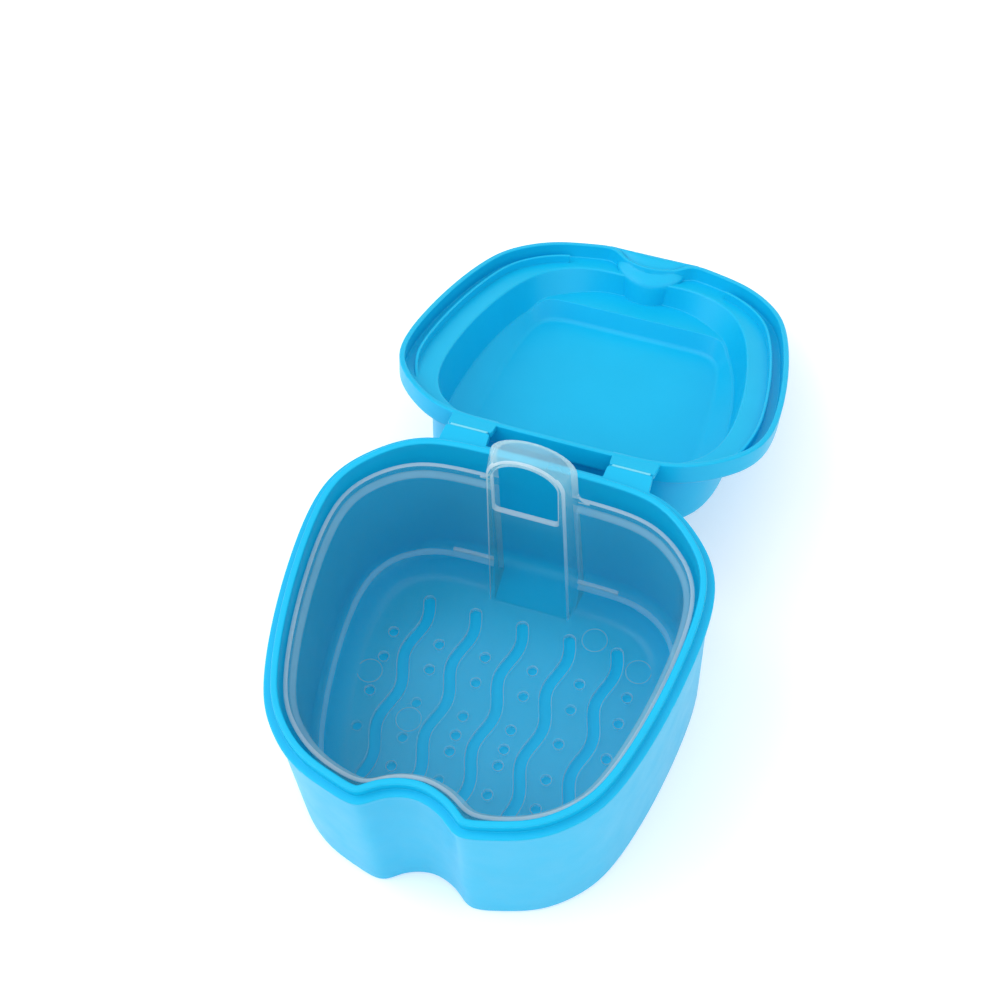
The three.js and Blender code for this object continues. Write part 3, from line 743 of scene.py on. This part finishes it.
    # wavy slots and round holes with a softened upper edge
    levels = [(0.6, 0.0), (3.22, 0.0), (3.36, 0.04), (3.45, 0.11), (3.50, 0.24), (3.9, 0.9)]
    cutters = []
    for xc in (-24, -12, 0, 12, 24):
        def wave(y):
            return xc + 1.1 * np.cos(2 * math.pi * (y - 19.6) / 19)
        rows = []
        for z, grow in levels:
            r = 1.35 + grow
            y0, y1 = -24.2 + 1.35, 25.8 - 1.35
            y = np.linspace(y0, y1, 56)
            slope = (wave(y + 0.05) - wave(y - 0.05)) / 0.1
            l = np.hypot(1, slope)
            right = np.column_stack([wave(y) + r / l, y - slope * r / l])
            left = np.column_stack([wave(y) - r / l, y + slope * r / l])[::-1]
            cap = np.array([(wave(y1) + r * math.cos(a), y1 + r * math.sin(a)) for a in np.linspace(0, math.pi, 15)[1:-1]])
            low_cap = np.array([(wave(y0) - r * math.cos(a), y0 - r * math.sin(a)) for a in np.linspace(0, math.pi, 15)[1:-1]])
            p = np.vstack([right, cap, left, low_cap])
            rows.append(raise_to(p, z))
        cutters.append(skin(rows))
    for hx, hy in HOLES:
        for s in (-1, 1):
            u = np.arange(28) * 2 * math.pi / 28
            rows = [np.column_stack([s * hx + (1.15 + g) * np.cos(u), hy + (1.15 + g) * np.sin(u), np.full(28, z)]) for z, g in levels]
            cutters.append(skin(rows))
    # the cut walls of slots and holes take the whiter edge material, partly a painted highlight along the cut edges
    combine(basket, make("cutters", *joined(cutters), EDGE_MILK_AND_PAINTED_HIGHLIGHT), "DIFFERENCE")
    strips(basket)
    return basket


def strips(obj):
    """Milkier strips where the moulding is thick or turns a corner: the rim, the ledges and the handle's edges; these
    strips are also lighter as a painted highlight.
    """
    mesh = obj.data
    place = {m.name: i for i, m in enumerate(mesh.materials)}
    for m in (MILK_BODY, MILK_HANDLE, MILK_SIDE, LEDGE_MILK_AND_PAINTED_HIGHLIGHT, EDGE_MILK_AND_PAINTED_HIGHLIGHT):
        if m.name not in place:
            place[m.name] = len(mesh.materials)
            mesh.materials.append(m)
    body, handle, side, ledge, edge = (place[m.name] for m in (MILK_BODY, MILK_HANDLE, MILK_SIDE, LEDGE_MILK_AND_PAINTED_HIGHLIGHT, EDGE_MILK_AND_PAINTED_HIGHLIGHT))
    # faces are picked by their normal: the handle's angled front and back edges and the upward-facing rim top and ledge
    # tops take the whiter materials, partly thicker plastic and partly painted highlight
    for poly in mesh.polygons:
        x, y, z = poly.center
        nx, ny, nz = poly.normal
        if poly.material_index == handle:
            if -0.93 < ny < -0.22 or (ny > 0.3 and y > 38.6):
                poly.material_index = edge
            elif abs(ny) <= 0.22:
                poly.material_index = side
        elif poly.material_index == body:
            if nz > 0.3 and z > 45.0:
                poly.material_index = edge
            elif nz > 0.3 and (41.4 < z < 43.7 or 9.7 < z < 11.7):
                poly.material_index = ledge
        elif poly.material_index == edge and abs(ny) > 0.7 and 44.5 < z < 48.5 and 10 < abs(x) < 14:
            poly.material_index = side


PIN_MARKS = [(-31.4, 2.3), (-18.0, -6.9), (17.8, 26.2), (30.3, 21.2)]


# ---------------------------------------------------------------- hinge webs
def build_web(name, s):
    """A strip that bridges the leaves, thinnest in the middle, bowed a little upwards."""
    xs = np.linspace(15.05, 24.15, 25)
    a, b = np.array([48.76, 46.72]), np.array([49.74, 45.87])
    steps = 16
    rows = []
    along = (b - a) / np.linalg.norm(b - a)
    up = np.array([-along[1], along[0]])
    for k in range(steps + 1):
        u = k / steps
        mid = a + (b - a) * u + up * 0.04 * math.sin(math.pi * u)
        half = 0.2 - 0.055 * math.sin(math.pi * u)
        top, low = mid + up * half, mid - up * half
        neck = 0.12 * math.sin(math.pi * u)
        x = xs.copy()
        x = (x - 19.6) * (1 - neck / 4.55) + 19.6
        upper = [(s * v, top[0], top[1]) for v in x]
        lower = [(s * v, low[0], low[1]) for v in x[::-1]]
        rows.append(np.array(upper + lower))
    points, faces = skin(rows)
    web = make(name, points * 0.001, faces, WEB_PAINTED_HIGHLIGHT)
    fix_winding(web)
    web.data.shade_smooth()
    web.data.set_sharp_from_angle(angle=math.radians(50))
    return web


tub = settle(build_tub(), "tub_looks")
lid = settle(build_lid(), "lid_looks", OPEN)
basket = settle(build_basket(), "basket_looks")
for obj, body, node, slot in (
    (tub, "base", "base_tub", "case_blue"),
    (lid, "lid", "lid", "case_blue"),
    (basket, "basket", "strainer_basket", "basket_translucent"),
):
    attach(obj, body)
    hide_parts(node)
for side, s in (("left", -1), ("right", 1)):
    web = build_web(f"web_{side}_looks", s)
    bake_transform(web)
    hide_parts(f"hinge_web_{side}")

# the CAD's own meshes keep a finished material too
for name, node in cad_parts.items():
    mats = {"base_tub": BLUE, "lid": BLUE, "hinge_web_left": WEB_PAINTED_HIGHLIGHT, "hinge_web_right": WEB_PAINTED_HIGHLIGHT, "strainer_basket": MILK_BODY}
    node.data.materials.clear()
    node.data.materials.append(mats[name])


# ---------------------------------------------------------------- floor, light and camera
def floor_material():
    n = Nodes("studio_floor")
    p = n.add("ShaderNodeBsdfPrincipled")
    n.link(n.tint(n.noise(3, 2), [(0.3, (0.90, 0.905, 0.91)), (0.7, (0.915, 0.92, 0.925))]), p.inputs["Base Color"])
    n.link(n.spread(n.noise(8, 2), 0.75, 0.85), p.inputs["Roughness"])
    p.inputs["Specular IOR Level"].default_value = 0.2
    p.inputs["Emission Color"].default_value = (0.97, 0.985, 1.0, 1)
    p.inputs["Emission Strength"].default_value = 0.24
    return n.output(p.outputs["BSDF"])


size = 24
grid = np.linspace(-2.4, 2.4, size + 1)
floor_points = [(x, y, -0.0002) for y in grid for x in grid]
floor_faces = [(r * (size + 1) + c, r * (size + 1) + c + 1, (r + 1) * (size + 1) + c + 1, (r + 1) * (size + 1) + c) for r in range(size) for c in range(size)]
floor = make("studio_floor", floor_points, floor_faces, floor_material())

world = bpy.data.worlds.new("studio")
bpy.context.scene.world = world
world.use_nodes = True
sky = world.node_tree.nodes["Background"]
sky.inputs["Color"].default_value = (0.97, 0.985, 1.0, 1)
sky.inputs["Strength"].default_value = 0.66


def area(name, place, target, size, power, colour=(1, 1, 1)):
    data = bpy.data.lights.new(name, "AREA")
    data.shape, data.size, data.size_y = "RECTANGLE", size[0], size[1]
    data.energy, data.color = power, colour
    obj = bpy.data.objects.new(name, data)
    bpy.context.scene.collection.objects.link(obj)
    obj.location = place
    obj.rotation_euler = (Vector(target) - Vector(place)).to_track_quat("-Z", "Y").to_euler()
    return obj


area("key", (-0.85, -0.15, 1.0), (0, 0.02, 0.02), (1.2, 1.2), 8.6)
area("top", (0.15, 0.35, 1.30), (0, 0.03, 0.02), (1.4, 1.2), 3.0)
area("fill", (0.9, -0.25, 0.9), (0, 0.02, 0.03), (1.2, 1.2), 3.4)
area("front", (-0.15, -1.0, 0.95), (0, 0.02, 0.03), (1.2, 1.0), 2.6)

camera_data = bpy.data.cameras.new("photo_camera")
camera_data.sensor_width, camera_data.sensor_fit = 36.0, "HORIZONTAL"
camera_data.lens = 67.2503
camera_data.clip_start, camera_data.clip_end = 0.01, 20
camera = bpy.data.objects.new("photo_camera", camera_data)
bpy.context.scene.collection.objects.link(camera)
C = Vector((81.76172, -168.02660, 407.17642)) * 0.001
R = Vector((0.94524758, 0.32229846, -0.05129057))
U = Vector((-0.25092044, 0.81822324, 0.51725202))
B = Vector((0.20867667, -0.47606137, 0.85429481))
camera.matrix_world = Matrix(((R.x, U.x, B.x, C.x), (R.y, U.y, B.y, C.y), (R.z, U.z, B.z, C.z), (0, 0, 0, 1)))
bpy.context.scene.camera = camera
bpy.context.scene.view_settings.view_transform = "Standard"
